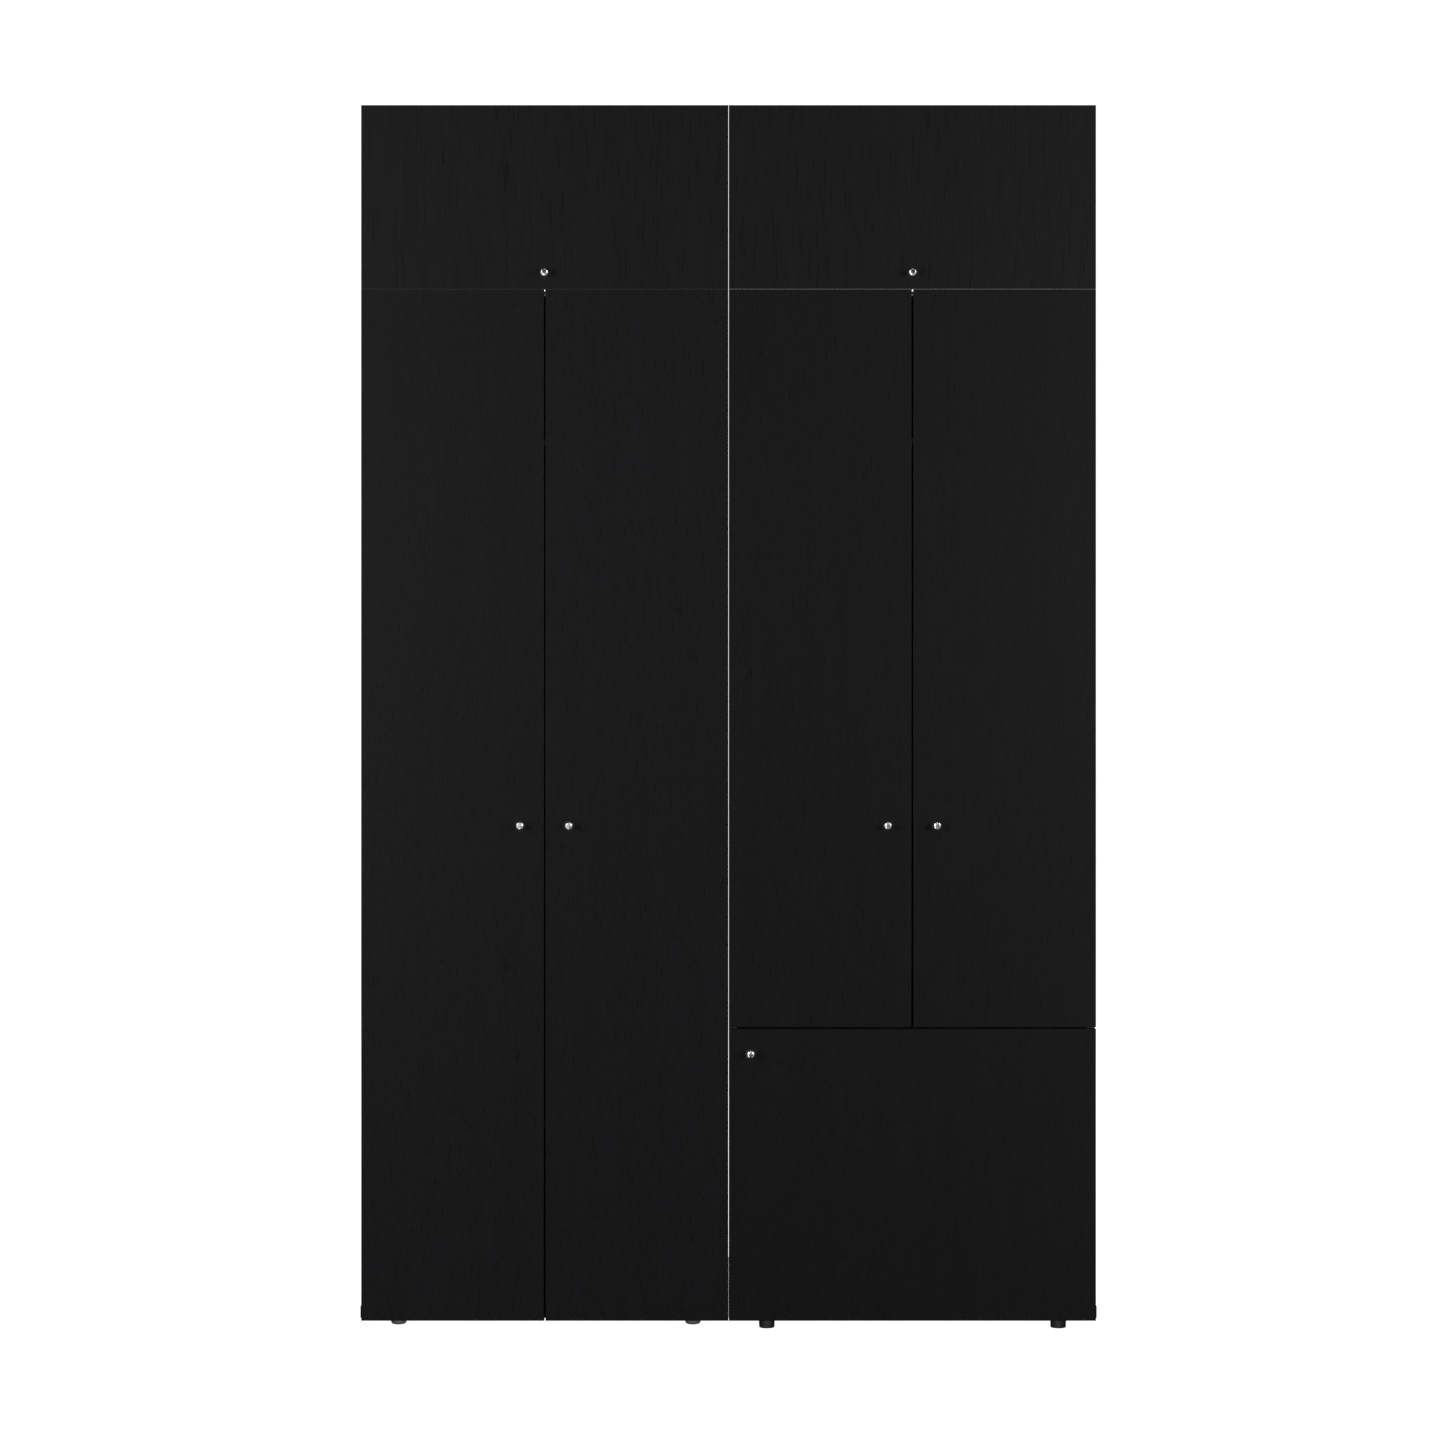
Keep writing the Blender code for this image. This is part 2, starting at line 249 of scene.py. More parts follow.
def studio_world():
    world = bpy.data.worlds.new("studio")
    world.use_nodes = True
    tree = world.node_tree
    tree.nodes.clear()
    seen = add_node(tree, "ShaderNodeBackground", {"Color": (1, 1, 1, 1), "Strength": 1.05})
    fill = add_node(tree, "ShaderNodeBackground", {"Color": (1, 1, 1, 1), "Strength": 0.055})
    rays = add_node(tree, "ShaderNodeLightPath")
    mix = add_node(
        tree,
        "ShaderNodeMixShader",
        links={0: rays.outputs["Is Camera Ray"], 1: fill.outputs[0], 2: seen.outputs[0]},
    )
    add_node(tree, "ShaderNodeOutputWorld", links={"Surface": mix.outputs[0]})
    bpy.context.scene.world = world


small_metal = bpy.data.collections.new("small_metal")
white_buffers = bpy.data.collections.new("white_buffers")
inside_boards = bpy.data.collections.new("inside_boards")
feet = bpy.data.collections.new("feet")
studio_floor()
studio_world()
softbox("key_left", (-5.0, -4.3, 2.2), (0, 0, 2.6), (3.2, 3.2), 121)
softbox("key_right", (5.0, -4.3, 2.2), (0, 0, 2.6), (3.2, 3.2), 117)
softbox("back", (0, 4.6, 3.6), (0, 0, 1.5), (3.0, 2.0), 90)
for side, x in (("left", -2.7), ("right", 2.7)):
    softbox(f"strip_{side}", (x, -0.8, 2.8), (x / 3, -0.3, 1.7), (1.6, 2.8), 40, small_metal)
softbox("card_over", (0, -0.9, 5.0), (0, -0.3, 2.0), (2.4, 1.6), 12, small_metal)
softbox("card_left", (-1.3, -7.0, 1.2), (-0.4, 0, 1.1), (2.2, 2.3), 12.0, small_metal)
softbox("card_right", (1.2, -7.0, 1.2), (0.4, 0, 1.1), (2.4, 2.3), 4.0, small_metal)
softbox("card_floor_left", (-1.4, -1.4, 0.03), (-1.4, -1.4, 2.0), (2.4, 2.4), 34, small_metal)
softbox("card_floor_right", (1.4, -1.4, 0.03), (1.4, -1.4, 2.0), (2.4, 2.4), 9, small_metal)
softbox("card_low_left", (-2.75, -0.8, 0.7), (-0.9, -0.3, 0.9), (1.6, 1.3), 8, small_metal)
softbox("card_low_right", (2.75, -0.8, 0.7), (0.9, -0.3, 0.9), (1.6, 1.3), 3, small_metal)
softbox("card_feet", (0, -3.2, 0.35), (0, 0, 0.02), (4.0, 0.6), 55, feet)
softbox("inside_fill", (0, -5.6, 1.9), (0, 0, 1.4), (4.0, 2.4), 150, inside_boards)
softbox("snoot", (0, -6.3, 2.6), (0, 0, 2.2), (0.6, 0.6), 260, white_buffers)

# %% [markdown]
# ## Boards that stay as they are
# The sides, shelves, dividers, top and base boards in the frame already have the right shape, so
# they only take their finish. The grain runs up the sides and along the level boards. The sides,
# shelves and backs also join the pieces that the fill for the inside lights.

# %% Finish the carcass boards
def side_or_level(name):
    return "upright_board" if name.endswith("_side") else "level_board"


boards = [name for name in frame["nodes"] if name.endswith(("_side", "_board", "_shelf"))]
for name in boards:
    frame["nodes"][name].data.materials.clear()
    frame["nodes"][name].data.materials.append(FINISHES[side_or_level(name)])
for name, node in frame["nodes"].items():
    if name.endswith(("_side", "_shelf", "_back_panel")):
        inside_boards.objects.link(node)
print(len(boards), "carcass boards finished")

# %% [markdown]
# ## Helpers for shapes
# Turned pieces are spun from a profile, and boxes are cubes with their edges bevelled. Both are made
# as small meshes, and one more helper gathers them into a piece, so that a hinge with twelve shapes
# is still one object. Copies of a piece share its mesh.

# %% Helpers for shapes
def box_mesh(low, high, radius=0.0, segments=2):
    """A box between two corners, its edges rounded."""
    low, high = Vector(low), Vector(high)
    place = Matrix.Translation((low + high) / 2) @ Matrix.Diagonal(high - low).to_4x4()
    bm = bmesh.new()
    bmesh.ops.create_cube(bm, size=1, matrix=place)
    if radius:
        bmesh.ops.bevel(
            bm, geom=bm.edges[:], offset=radius, segments=segments, profile=0.5, affect="EDGES"
        )
    return mesh_of(bm, "box")


def turned_mesh(profile, steps=48):
    """A profile of (radius, height) points spun round Z.

    The profile starts and ends on the axis, or closes on itself.
    """
    bm = bmesh.new()
    points = [bm.verts.new((radius, 0, height)) for radius, height in profile]
    lines = [bm.edges.new(pair) for pair in zip(points, points[1:])]
    bmesh.ops.spin(
        bm, geom=points + lines, cent=(0, 0, 0), axis=(0, 0, 1), angle=2 * pi, steps=steps
    )
    bmesh.ops.remove_doubles(bm, verts=bm.verts, dist=1e-6)
    return mesh_of(bm, "turned")


def mesh_of(bm, name):
    bmesh.ops.recalc_face_normals(bm, faces=bm.faces)
    mesh = bpy.data.meshes.new(name)
    bm.to_mesh(mesh)
    bm.free()
    return mesh


def fillet(radius, height, size, start, turn, steps=4):
    """Points of a quarter round in a profile, about a centre (radius, height)."""
    angles = [start + turn * step / steps for step in range(steps + 1)]
    return [(radius + size * cos(angle), height + size * sin(angle)) for angle in angles]


def gathered(name, *shapes):
    """One mesh from several shapes, each given with its place and the number of its finish."""
    whole = bmesh.new()
    for mesh, place, finish in shapes:
        shape = bmesh.new()
        shape.from_mesh(mesh)
        shape.transform(place)
        for face in shape.faces:
            face.material_index = finish
        moved = mesh_of(shape, name)
        whole.from_mesh(moved)
        bpy.data.meshes.remove(moved)
    mesh = bpy.data.meshes.new(name)
    whole.to_mesh(mesh)
    whole.free()
    mesh.shade_smooth()
    mesh.set_sharp_from_angle(angle=radians(32))
    return mesh


STILL = Matrix.Identity(4)
# The slots whose pieces the strips and cards light.
SMALL_METAL = ("knob_steel", "hinge_nickel", "rail_chrome", "strut_rod_steel", "strut_tube_paint")


def show(name, mesh, finishes, body, slot, place=STILL, stands_for=()):
    """Puts a piece in the scene, on its body, in the place of the frame's nodes that it stands for."""
    if not mesh.materials:
        for finish in finishes:
            mesh.materials.append(finish)
    obj = bpy.data.objects.new(name, mesh)
    bpy.context.scene.collection.objects.link(obj)
    obj.matrix_world = place
    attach(obj, body)
    if stands_for:
        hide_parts(*stands_for)
    if slot in SMALL_METAL:
        small_metal.objects.link(obj)
    return obj


def at(x, y, z):
    return Matrix.Translation((x, y, z))


FORWARD = Matrix.Rotation(radians(90), 4, "X")  # turns +Z to -Y, out of the doors
BACKWARD = Matrix.Rotation(radians(-90), 4, "X")
print("shape helpers ready")

# %% [markdown]
# ## Edge band
# The sawn edges of a board are covered with a strip of ABS, a tough moulded plastic, glued on and
# trimmed to a small radius. It has no pores, only a faint orange peel from the roller that made it.

# %% Black ABS edge band
def abs_edge_band():
    made, tree, shader = new_finish("black_abs_edge_band", Roughness=0.46, IOR=1.5)
    shader.inputs["Base Color"].default_value = linear("0A0A0B")
    place = add_node(tree, "ShaderNodeTexCoord").outputs["Object"]
    peel = add_node(
        tree, "ShaderNodeTexNoise", {"Scale": 1 / (1.5 * MM), "Detail": 2.0}, {"Vector": place}
    )
    normal = add_node(
        tree,
        "ShaderNodeBump",
        {"Strength": 0.1, "Distance": 0.02 * MM},
        {"Height": peel.outputs["Fac"]},
    )
    tree.links.new(normal.outputs["Normal"], shader.inputs["Normal"])
    return made


EDGE_BAND = abs_edge_band()
print("finish:", EDGE_BAND.name)

# %% [markdown]
# ## Door leaves
# A door is a board with a band round its four edges and a row of 35 mm cup holes in its inner face,
# close to the hinged edge. The bands are swept round the door as one mitred ring, with a section
# whose outer corners are rounded. The cup holes are cut by a Boolean with short cylinders, because
# the hinge cups sit down inside them.

# %% Door leaves
BAND = 0.8 * MM
ARRIS = 0.6 * MM
BOARD = 18 * MM
CUP_RADIUS = 17.5 * MM
CUP_DEPTH = 12 * MM
CUP_INSET = 22.5 * MM  # from the hinged edge to the cup's centre
HINGE_END = 100 * MM  # from a door's end to its last hinge


def band_ring(low, high):
    """The band round a board that lies in the XZ plane, as a ring with mitred corners."""
    thickness = high.y - low.y
    section = [(0, 0)]
    section += fillet(BAND - ARRIS, ARRIS, ARRIS, -pi / 2, pi / 2)
    section += fillet(BAND - ARRIS, thickness - ARRIS, ARRIS, 0, pi / 2)
    section.append((0, thickness))
    bm = bmesh.new()
    corners = (
        (low.x, low.z, 1, 1),
        (high.x, low.z, -1, 1),
        (high.x, high.z, -1, -1),
        (low.x, high.z, 1, -1),
    )
    rings = [
        [
            bm.verts.new((x + right * (BAND - out), low.y + deep, z + up * (BAND - out)))
            for out, deep in section
        ]
        for x, z, right, up in corners
    ]
    for ring, after in zip(rings, rings[1:] + rings[:1]):
        for step, vert in enumerate(ring):
            other = (step + 1) % len(ring)
            bm.faces.new((vert, ring[other], after[other], after[step]))
    return mesh_of(bm, "band")


def cup_places(low, high, hinge, count):
    """Centres of a door's hinge cups on its inner face, from one end to the other."""
    if hinge == "top":
        z = high.z - CUP_INSET
        first = Vector((low.x + BOARD + HINGE_END, high.y, z))
        last = Vector((high.x - BOARD - HINGE_END, high.y, z))
    else:
        x = low.x + CUP_INSET if hinge == "left" else high.x - CUP_INSET
        first = Vector((x, high.y, high.z - HINGE_END))
        last = Vector((x, high.y, low.z + HINGE_END))
    return [first.lerp(last, step / (count - 1)) for step in range(count)]


def bored(mesh, places):
    """The mesh with a cup hole cut at each place."""
    board = bpy.data.objects.new("board", mesh)
    hole = turned_mesh(
        [(0, -CUP_DEPTH), (CUP_RADIUS, -CUP_DEPTH), (CUP_RADIUS, 1 * MM), (0, 1 * MM)]
    )
    holes = ((hole, Matrix.Translation(place) @ BACKWARD, 0) for place in places)
    drills = gathered("drills", *holes)
    cutter = bpy.data.objects.new("drills", drills)
    for obj in (board, cutter):
        bpy.context.scene.collection.objects.link(obj)
    bore = board.modifiers.new("bore", "BOOLEAN")
    bore.operation = "DIFFERENCE"
    bore.object = cutter
    bpy.context.view_layer.update()
    graph = bpy.context.evaluated_depsgraph_get()
    result = bpy.data.meshes.new_from_object(board.evaluated_get(graph))
    for obj in (board, cutter):
        bpy.data.objects.remove(obj)
    return result


DOORS = {
    "left_column_left_door": ("left", 5, "left_doors"),
    "left_column_right_door": ("right", 5, "left_doors"),
    "right_column_left_door": ("left", 4, "right_doors"),
    "right_column_right_door": ("right", 4, "right_doors"),
    "right_column_low_door": ("right", 2, "low_door"),
    "left_flap": ("top", 3, "flap"),
    "right_flap": ("top", 3, "flap"),
}
cups = {}
for name, (hinge, count, finish) in DOORS.items():
    low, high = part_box(name)
    cups[name] = cup_places(low, high, hinge, count)
    inset = Vector((BAND, 0, BAND))
    core = bored(box_mesh(low + inset, high - inset), cups[name])
    leaf = gathered(f"{name}_leaf", (core, STILL, 0), (band_ring(low, high), STILL, 1))
    finishes = (FINISHES[finish], EDGE_BAND)
    show(f"{name}_leaf", leaf, finishes, name, "front_board", stands_for=(name,))
    print(f"{name}: {(high.x - low.x) / MM:.0f} x {(high.z - low.z) / MM:.0f} mm, {count} cups")

# %% [markdown]
# ## Knobs
# Each knob is turned from bar: a head with a wide bevel round a small flat face, a waisted neck, and
# a thin black rosette against the door. A lathe leaves rings finer than a hair, which spread the
# light into a soft streak. They are drawn here as fine rings in the bump, about one to a
# millimetre, so that they still show.

# %% Turned steel
def turned_steel(name, colour, roughness):
    """Satin steel with lathe rings round the piece's own Z axis."""
    made, tree, shader = new_finish(name, Metallic=1.0, Roughness=roughness)
    shader.inputs["Base Color"].default_value = linear(colour)
    place = add_node(tree, "ShaderNodeTexCoord").outputs["Object"]
    rings = add_node(
        tree,
        "ShaderNodeTexWave",
        {"Scale": 1 / (3 * MM), "Distortion": 0.0},
        {"Vector": place},
        wave_type="RINGS",
        rings_direction="Z",
    )
    normal = add_node(
        tree,
        "ShaderNodeBump",
        {"Strength": 0.05, "Distance": 0.02 * MM},
        {"Height": rings.outputs["Fac"]},
    )
    tree.links.new(normal.outputs["Normal"], shader.inputs["Normal"])
    return made


KNOB_STEEL = turned_steel("turned_satin_steel", "D8D7D4", 0.17)
print("finish:", KNOB_STEEL.name)

# %% [markdown]
# The rosette is steel with a black coating, the kind that is baked on and comes out satin. Its black
# is set darker than the doors, so that it also paints the ring of shade round the foot of each knob.

# %% Black coated steel
def coated_steel(name, colour, roughness):
    """Powder coat: a smooth film with a faint orange peel."""
    made, tree, shader = new_finish(name, Roughness=roughness, IOR=1.5)
    shader.inputs["Base Color"].default_value = linear(colour)
    place = add_node(tree, "ShaderNodeTexCoord").outputs["Object"]
    peel = add_node(
        tree, "ShaderNodeTexNoise", {"Scale": 1 / (0.25 * MM), "Detail": 2.0}, {"Vector": place}
    )
    normal = add_node(
        tree,
        "ShaderNodeBump",
        {"Strength": 0.2, "Distance": 0.01 * MM},
        {"Height": peel.outputs["Fac"]},
    )
    tree.links.new(normal.outputs["Normal"], shader.inputs["Normal"])
    return made


# Black coating, darkened so that it also paints the shade ring round the knob.
ROSETTE_BLACK_AND_SHADE = coated_steel("black_coated_steel_painted_shade", "0B0B0B", 0.3)

# %% Knobs
HEAD, FACE, NECK, ROSETTE = 8.0 * MM, 4.6 * MM, 3.4 * MM, 11.0 * MM
KNOB_LENGTH = 22 * MM
rosette = turned_mesh(
    [
        (0, 0.3 * MM),
        (ROSETTE, 0.3 * MM),
        *fillet(ROSETTE - 0.5 * MM, 1.5 * MM, 0.5 * MM, 0, pi / 2),
        (0, 2 * MM),
    ]
)
head = turned_mesh(
    [
        (0, 1.9 * MM),
        (NECK + 1.4 * MM, 1.9 * MM),
        *fillet(NECK + 1.6 * MM, 3.9 * MM, 1.6 * MM, -pi / 2 - 0.2, -pi / 2 + 0.2),
        (NECK, 7.0 * MM),
        (NECK + 0.3 * MM, 10.5 * MM),
        (NECK + 1.4 * MM, 13.5 * MM),
        *fillet(HEAD - 0.5 * MM, 16.6 * MM, 0.5 * MM, -pi / 3, pi / 3, 3),
        *fillet(HEAD - 0.5 * MM, 18.2 * MM, 0.5 * MM, 0, pi / 4, 3),
        *fillet(FACE - 0.3 * MM, KNOB_LENGTH - 0.4 * MM, 0.4 * MM, pi / 4, pi / 4, 3),
        (0, KNOB_LENGTH),
    ],
    steps=64,
)
knob_mesh = gathered("knob", (rosette, STILL, 0), (head, STILL, 1))
finishes = (ROSETTE_BLACK_AND_SHADE, KNOB_STEEL)
for door in DOORS:
    low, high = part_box(f"{door}_knob")
    place = at((low.x + high.x) / 2, FRONT, (low.z + high.z) / 2) @ FORWARD
    show(f"{door}_turned_knob", knob_mesh, finishes, door, "knob_steel", place, (f"{door}_knob",))
print("knob head", 2 * HEAD / MM, "mm across, face", 2 * FACE / MM, "mm")

# %% [markdown]
# ## Cup hinges
# A cup hinge is stamped from steel sheet and plated with nickel. Its cup sits in the door with a
# two-screw flange. Its arm is a folded channel on a cross-shaped plate, which is screwed to the
# cabinet's side. The frame holds one arm for each door, and the rest of the row is added here, level
# with the cups. Each copy is placed by three directions: into the cabinet, back, and along the door.
# A bent link joins cup and arm, placed as it sits with the door shut. It belongs to both, so it bends
# between them as the door turns.

# %% Nickel-plated steel
def nickel_plate():
    """Bright plating over rolled sheet: nearly even, with a slight waviness and handling haze."""
    made, tree, shader = new_finish("nickel_plated_steel", Metallic=1.0, Roughness=0.26)
    shader.inputs["Base Color"].default_value = linear("CFCBC2")
    place = add_node(tree, "ShaderNodeTexCoord").outputs["Object"]
    haze = add_node(
        tree, "ShaderNodeTexNoise", {"Scale": 1 / (6 * MM), "Detail": 4.0}, {"Vector": place}
    )
    rough = add_node(
        tree, "ShaderNodeMapRange", {"To Min": 0.2, "To Max": 0.36}, {"Value": haze.outputs["Fac"]}
    )
    tree.links.new(rough.outputs["Result"], shader.inputs["Roughness"])
    return made


NICKEL = nickel_plate()
SCREW_STEEL = turned_steel("zinc_plated_screw", "A9A9A6", 0.34)
print("finishes:", NICKEL.name, SCREW_STEEL.name)

# %% Screws
SCREW_RADIUS, SCREW_HEIGHT = 3.4 * MM, 1.6 * MM
# Painted shade: the recesses and slots are near-black bars where the hollows fall dark.
RECESS_SHADE = coated_steel("screw_recess_shadow", "0A0A0A", 0.6)


def screw_head():
    """A domed head on the face at z = 0."""
    radius, height = SCREW_RADIUS, SCREW_HEIGHT
    profile = [(0, 0), (radius, 0), (0.92 * radius, 0.55 * height)]
    return turned_mesh([*profile, (0.6 * radius, 0.9 * height), (0, height)], 20)


def cross_recess():
    """The cross recess on a screw's head, painted as shade on two thin bars."""
    long, thin = 0.55 * SCREW_RADIUS, 0.13 * SCREW_RADIUS
    bottom, top = 0.8 * SCREW_HEIGHT, SCREW_HEIGHT + 0.02 * MM
    halves = ((long, thin), (thin, long))
    return [box_mesh((-x, -y, bottom), (x, y, top)) for x, y in halves]


def screw(place, size=1.0):
    """The shapes of a screw, for gathering with finishes 1 (steel) and 2 (painted recess shade)."""
    scaled = place @ Matrix.Scale(size, 4)
    return [(screw_head(), scaled, 1), *((bar, scaled, 2) for bar in cross_recess())]


# %% Cup hinge
GAP = 2 * MM  # between a closed door and the carcass edge
INWARD = Matrix.Rotation(radians(90), 4, "Y")  # turns +Z to +X, off the side's face
HINGE_FINISHES = (NICKEL, SCREW_STEEL, RECESS_SHADE)


def cup_shapes():
    """The cup and its flange, on the door's inner face at y = 0, with +Y into the cabinet."""
    rim, wall = CUP_RADIUS - 0.3 * MM, 1.2 * MM
    deep = CUP_DEPTH - 0.6 * MM
    bowl = turned_mesh(
        [
            (0, -deep),
            (rim, -deep),
            (rim, 0),
            (rim + 1.2 * MM, 0),
            (rim + 1.2 * MM, 0.8 * MM),
            (rim - wall, 0.8 * MM),
            (rim - wall, -deep + wall),
            (0, -deep + wall),
        ]
    )
    wings = [
        box_mesh((3 * MM, 0, z * MM), (16 * MM, 0.8 * MM, (z + 11) * MM), 0.3 * MM, 1)
        for z in (-27, 16)
    ]
    low, high = (-4 * MM, -deep + wall, -12.5 * MM), (1 * MM, -1.5 * MM, 12.5 * MM)
    spine = box_mesh(low, high, 0.8 * MM)
    places = [at(9.5 * MM, 0.8 * MM, z * MM) @ BACKWARD for z in (-22.5, 22.5)]
    screws = [shape for place in places for shape in screw(place, 0.95)]
    plain = [(shape, STILL, 0) for shape in (*wings, spine)]
    return [(bowl, BACKWARD, 0), *plain, *screws]


def arm_shapes():
    """The arm and its plate, on the side's face at x = 0, with y = 0 at the carcass edge."""
    plate = box_mesh((0.3 * MM, 24 * MM, -24 * MM), (2.2 * MM, 50 * MM, 24 * MM), 1.0 * MM)
    spine = box_mesh((0.3 * MM, 8 * MM, -8 * MM), (4.0 * MM, 58 * MM, 8 * MM), 0.8 * MM)
    arm = box_mesh((3.6 * MM, 0.6 * MM, -6.6 * MM), (12.6 * MM, 60 * MM, 6.6 * MM), 1.6 * MM, 3)
    # The slot is a thin bar painted with the recess shade.
    slot = box_mesh((11.8 * MM, 12 * MM, -2.2 * MM), (12.65 * MM, 24 * MM, 2.2 * MM), 0.2 * MM, 1)
    nose = box_mesh((4.6 * MM, -3.0 * MM, -5.4 * MM), (9.0 * MM, 3 * MM, 5.4 * MM), 1.2 * MM)
    screws = [shape for z in (-16, 16) for shape in screw(at(2.2 * MM, 37 * MM, z * MM) @ INWARD)]
    screws += [shape for y in (32, 52) for shape in screw(at(12.6 * MM, y * MM, 0) @ INWARD, 0.9)]
    plain = [(shape, STILL, 0) for shape in (plate, spine, arm, nose)]
    return [*plain, (slot, STILL, 2), *screws]


LINK_REACH = 4  # mm from the door's inner face


def link_shape():
    """The link from a cup's bowl up to the arm's nose, in short steps so that it bends smoothly."""
    half_thickness, half_width = 0.7, 4
    path = [Vector(point) for point in ((-1, -7, 0), (-1, 2, 0), (-0.7, 3.4, 0))]
    path += [Vector((step / 2, LINK_REACH, 0)) for step in range(10)]
    bm = bmesh.new()
    rings = []
    for step, point in enumerate(path):
        along = (path[min(step + 1, len(path) - 1)] - path[max(step - 1, 0)]).normalized()
        across = Vector((-along.y, along.x, 0)) * half_thickness
        along_door = Vector((0, 0, half_width))
        rim = (-across - along_door, across - along_door, across + along_door, along_door - across)
        rings.append([bm.verts.new((point + corner) * MM) for corner in rim])
    for ring, after in zip(rings, rings[1:]):
        for corner in range(4):
            other = (corner + 1) % 4
            bm.faces.new((ring[corner], ring[other], after[other], after[corner]))
    bm.faces.new(rings[0])
    bm.faces.new(rings[-1])
    return mesh_of(bm, "link")


def show_link(name, cup, facing):
    """A link from a cup to its arm, fixed where it sits with the door shut."""
    obj = bpy.data.objects.new(name, link_mesh.copy())
    bpy.context.scene.collection.objects.link(obj)
    obj.matrix_world = Matrix.Translation(cup) @ facing
    ends = (Vector((x, LINK_REACH, 0)) * MM for x in (-0.6, 4.4))
    start, end = (obj.matrix_world @ point for point in ends)
    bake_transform(obj)
    small_metal.objects.link(obj)


link_mesh = gathered("hinge_link", (link_shape(), STILL, 0))
link_mesh.materials.append(NICKEL)
cup_mesh = gathered("hinge_cup", *cup_shapes())
arm_mesh = gathered("hinge_arm", *arm_shapes())
inward_of = {"left": Vector((1, 0, 0)), "right": Vector((-1, 0, 0)), "top": Vector((0, 0, -1))}
back = Vector((0, 1, 0))
for door, (hinge, count, _) in DOORS.items():
    inward = inward_of[hinge]
    facing = Matrix((inward, back, inward.cross(back))).transposed().to_4x4()
    for step, cup in enumerate(cups[door]):
        label = f"{door}_hinge_{step + 1}"
        place = Matrix.Translation(cup) @ facing
        show(f"{label}_cup", cup_mesh, HINGE_FINISHES, door, "hinge_nickel", place)
        side_face = cup + inward * (BOARD - CUP_INSET) + back * GAP
        first = (hinge == "top" and step == count - 1) or (hinge != "top" and step == 0)
        stands_for = (f"{door}_hinge_arm",) if first else ()
        place = Matrix.Translation(side_face) @ facing
        show(f"{label}_arm", arm_mesh, HINGE_FINISHES, "root", "hinge_nickel", place, stands_for)
        show_link(f"{label}_link", cup, facing)
print(sum(len(places) for places in cups.values()), "cup hinges")

# %% [markdown]
# ## Gas struts
# A gas strut holds each flap up. Its painted tube pivots on the cabinet's side, and its chromed rod
# slides out towards the flap. Moulded sockets snap onto ball studs at both ends. The studs' brackets
# are folded steel, screwed to the side and to the flap.

# %% Chrome and moulded plastic
def chromed(name, colour="E2E2E2", roughness=0.08):
    """Bright chromium on a ground tube or rod, with a trace of polishing haze."""
    made, tree, shader = new_finish(name, Metallic=1.0, Roughness=roughness)
    shader.inputs["Base Color"].default_value = linear(colour)
    place = add_node(tree, "ShaderNodeTexCoord").outputs["Object"]
    haze = add_node(
        tree, "ShaderNodeTexNoise", {"Scale": 1 / (20 * MM), "Detail": 3.0}, {"Vector": place}
    )
    rough = add_node(
        tree,
        "ShaderNodeMapRange",
        {"To Min": roughness * 0.7, "To Max": roughness * 1.8},
        {"Value": haze.outputs["Fac"]},
    )
    tree.links.new(rough.outputs["Result"], shader.inputs["Roughness"])
    return made


def moulded_plastic(name, colour, roughness=0.5):
    """Injection-moulded nylon or polypropylene, with the spark-eroded grain of its mould."""
    made, tree, shader = new_finish(name, Roughness=roughness, IOR=1.49)
    shader.inputs["Base Color"].default_value = linear(colour)
    place = add_node(tree, "ShaderNodeTexCoord").outputs["Object"]
    spark = add_node(
        tree, "ShaderNodeTexNoise", {"Scale": 1 / (0.6 * MM), "Detail": 3.0}, {"Vector": place}
    )
    normal = add_node(
        tree,
        "ShaderNodeBump",
        {"Strength": 0.3, "Distance": 0.03 * MM},
        {"Height": spark.outputs["Fac"]},
    )
    tree.links.new(normal.outputs["Normal"], shader.inputs["Normal"])
    return made


RAIL_CHROME = chromed("rail_chrome")
ROD_CHROME = chromed("rod_chrome", "D8D8D8", 0.05)
TUBE_PAINT = coated_steel("strut_tube_paint", "131313", 0.22)
SOCKET_PLASTIC = moulded_plastic("black_socket_plastic", "18181A")
print("finishes:", RAIL_CHROME.name, ROD_CHROME.name, TUBE_PAINT.name, SOCKET_PLASTIC.name)

# %% Gas struts
joints = {joint["name"]: joint for joint in frame["joints"]}


